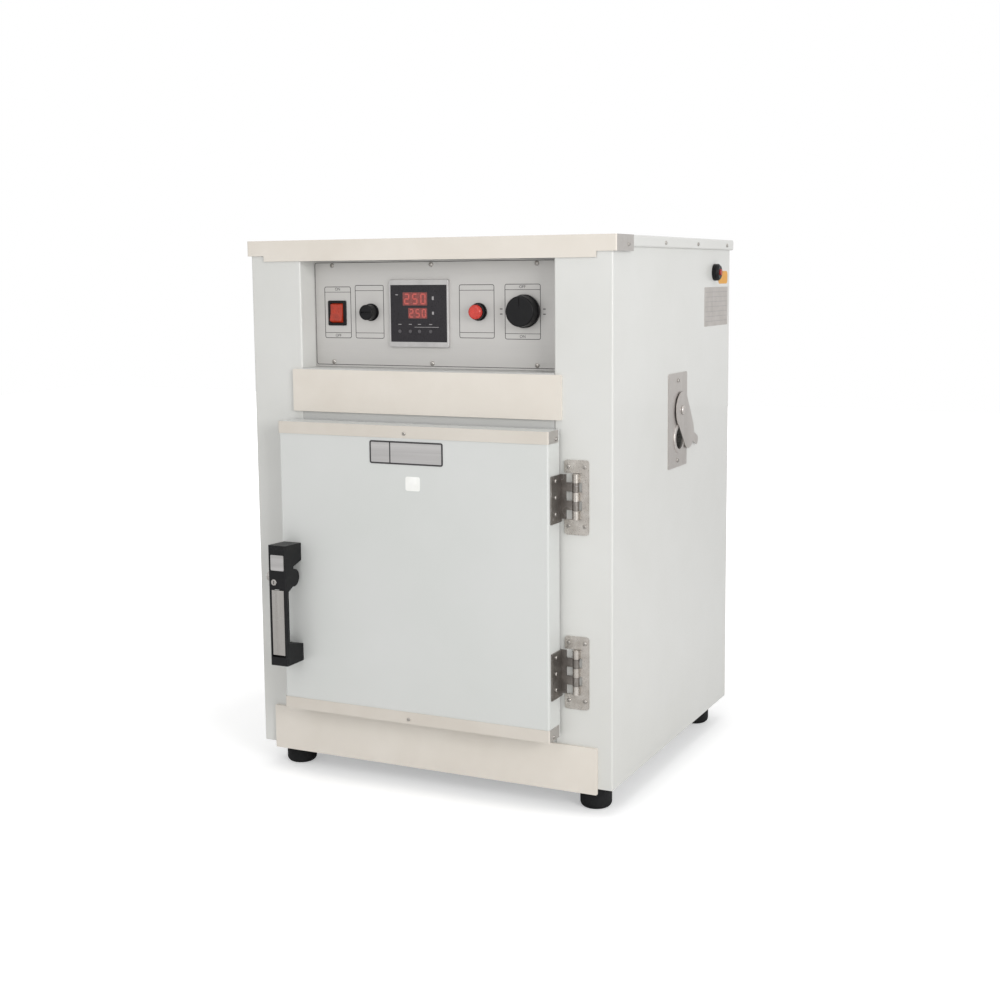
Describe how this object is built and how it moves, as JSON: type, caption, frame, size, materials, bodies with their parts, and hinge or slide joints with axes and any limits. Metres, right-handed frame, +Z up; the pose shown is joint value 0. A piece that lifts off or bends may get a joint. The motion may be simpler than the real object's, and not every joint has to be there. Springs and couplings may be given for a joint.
{
  "type": "laboratory oven",
  "caption": "Bench-top laboratory oven with a square side-hinged door, a recessed control panel, wire shelves in a square chamber and a vent in its side.",
  "frame": {"origin": "centre of the outer box's footprint, on the floor under the feet", "axes": "+Z up, -Y out of the door's front, +X to the right seen from the front"},
  "size_m": [0.5896, 0.6238, 0.794],
  "materials": {
    "cabinet_paint": "satin",
    "door_paint": "satin",
    "cream_film": "satin",
    "trim_steel": "satin",
    "panel_aluminium": "satin",
    "chamber_steel": "satin",
    "hinge_steel": "satin",
    "zinc_steel": "satin",
    "wool": "matte",
    "black_rubber": "matte",
    "red_silicone": "matte",
    "black_plastic": "matte",
    "controller_black": "gloss",
    "controller_silver": "satin",
    "key_grey": "satin",
    "red_lit": "gloss",
    "red_button": "gloss",
    "latch_black": "satin",
    "lever_steel": "polished",
    "element_steel": "satin",
    "screw_steel": "polished",
    "terminal_white": "matte"
  },
  "bodies": {
    "cabinet": {"left_side_panel": "cabinet_paint", "right_side_panel": "cabinet_paint", "back_panel": "cabinet_paint", "base_pan": "zinc_steel", "front_frame": "cabinet_paint", "top_rail": "cabinet_paint", "control_panel": "panel_aluminium", "top_cover": "cabinet_paint", "top_front_trim": "trim_steel", "front_band": "cream_film", "plinth_panel": "cream_film", "chamber_liner": "chamber_steel", "insulation": "wool", "chamber_cradle": "zinc_steel", "heater_elements": "element_steel", "heater_cover": "chamber_steel", "shelf_racks": "chamber_steel", "temperature_probe": "chamber_steel", "vent_duct": "chamber_steel", "vent_plate": "trim_steel", "rocker_bezel": "black_plastic", "fuse_holder": "black_plastic", "controller_bezel": "controller_silver", "controller_face": "controller_black", "lamp_body": "black_plastic", "lamp_lens": "red_lit", "selector_switch": "black_plastic", "reset_bezel": "black_plastic", "hinge_frame_leaves": "hinge_steel", "hinge_pins": "hinge_steel", "latch_keeper": "lever_steel", "feet": "black_rubber", "foot_bolts": "zinc_steel", "cable_gland": "black_plastic", "cabinet_screws": "screw_steel", "control_tray": "zinc_steel", "contactor": "black_plastic", "terminal_block": "terminal_white"},
    "door": {"door_shell": "door_paint", "door_liner": "chamber_steel", "door_insulation": "wool", "door_gasket": "red_silicone", "door_trims": "cream_film", "hinge_door_leaves": "hinge_steel", "door_screws": "screw_steel", "latch_body": "latch_black"},
    "latch_lever": {"latch_lever": "lever_steel"},
    "lock": {"lock_cylinder": "lever_steel"},
    "vent_leaf": {"vent_shutter": "trim_steel"},
    "rocker": {"rocker": "red_lit"},
    "selector": {"selector_knob": "black_plastic", "selector_shaft": "zinc_steel"},
    "fuse_cap": {"fuse_cap": "black_plastic"},
    "key_1": {"controller_key_1": "key_grey"},
    "key_2": {"controller_key_2": "key_grey"},
    "key_3": {"controller_key_3": "key_grey"},
    "key_4": {"controller_key_4": "key_grey"},
    "reset_button": {"reset_button": "red_button"},
    "shelf_upper": {"shelf_upper": "chamber_steel"},
    "shelf_lower": {"shelf_lower": "chamber_steel"}
  },
  "joints": [
    {"name": "door_hinge", "type": "hinge", "parent": "cabinet", "child": "door", "pos_m": [0.23135, -0.23315, 0.322], "axis": [0, 0, 1], "range_deg": [0, 120]},
    {"name": "lever_pivot", "type": "hinge", "parent": "door", "child": "latch_lever", "pos_m": [-0.20115, -0.2901, 0.31], "axis": [1, 0, 0], "range_deg": [0, 9], "stiffness_Nm_per_rad": 0.4, "springref_deg": -17.19},
    {"name": "lock_turn", "type": "hinge", "parent": "door", "child": "lock", "pos_m": [-0.20665, -0.3051, 0.306], "axis": [0, 1, 0], "range_deg": [0, 90]},
    {"name": "vent_swing", "type": "hinge", "parent": "cabinet", "child": "vent_leaf", "pos_m": [0.28645, 0.0469, 0.54], "axis": [1, 0, 0], "range_deg": [-51, 15]},
    {"name": "rocker_tilt", "type": "hinge", "parent": "cabinet", "child": "rocker", "pos_m": [-0.16345, -0.1881, 0.6886], "axis": [1, 0, 0], "range_deg": [0, 16]},
    {"name": "selector_turn", "type": "hinge", "parent": "cabinet", "child": "selector", "pos_m": [0.13885, -0.1926, 0.692], "axis": [0, 1, 0], "range_deg": [0, 270]},
    {"name": "fuse_cap_turn", "type": "hinge", "parent": "cabinet", "child": "fuse_cap", "pos_m": [-0.10615, -0.1939, 0.69], "axis": [0, -1, 0], "range_deg": [0, 90]},
    {"name": "reset_press", "type": "slide", "parent": "cabinet", "child": "reset_button", "axis": [-1, 0, 0], "range_m": [0, 0.002], "stiffness_N_per_m": 500, "springref_m": -0.002},
    {"name": "shelf_upper_slide", "type": "slide", "parent": "cabinet", "child": "shelf_upper", "axis": [0, -1, 0], "range_m": [0, 0.02]},
    {"name": "shelf_lower_slide", "type": "slide", "parent": "cabinet", "child": "shelf_lower", "axis": [0, -1, 0], "range_m": [0, 0.02]},
    {"name": "key_1_press", "type": "slide", "parent": "cabinet", "child": "key_1", "axis": [0, 1, 0], "range_m": [0, 0.0006], "stiffness_N_per_m": 300, "springref_m": -0.001},
    {"name": "key_2_press", "type": "slide", "parent": "cabinet", "child": "key_2", "axis": [0, 1, 0], "range_m": [0, 0.0006], "stiffness_N_per_m": 300, "springref_m": -0.001},
    {"name": "key_3_press", "type": "slide", "parent": "cabinet", "child": "key_3", "axis": [0, 1, 0], "range_m": [0, 0.0006], "stiffness_N_per_m": 300, "springref_m": -0.001},
    {"name": "key_4_press", "type": "slide", "parent": "cabinet", "child": "key_4", "axis": [0, 1, 0], "range_m": [0, 0.0006], "stiffness_N_per_m": 300, "springref_m": -0.001}
  ]
}
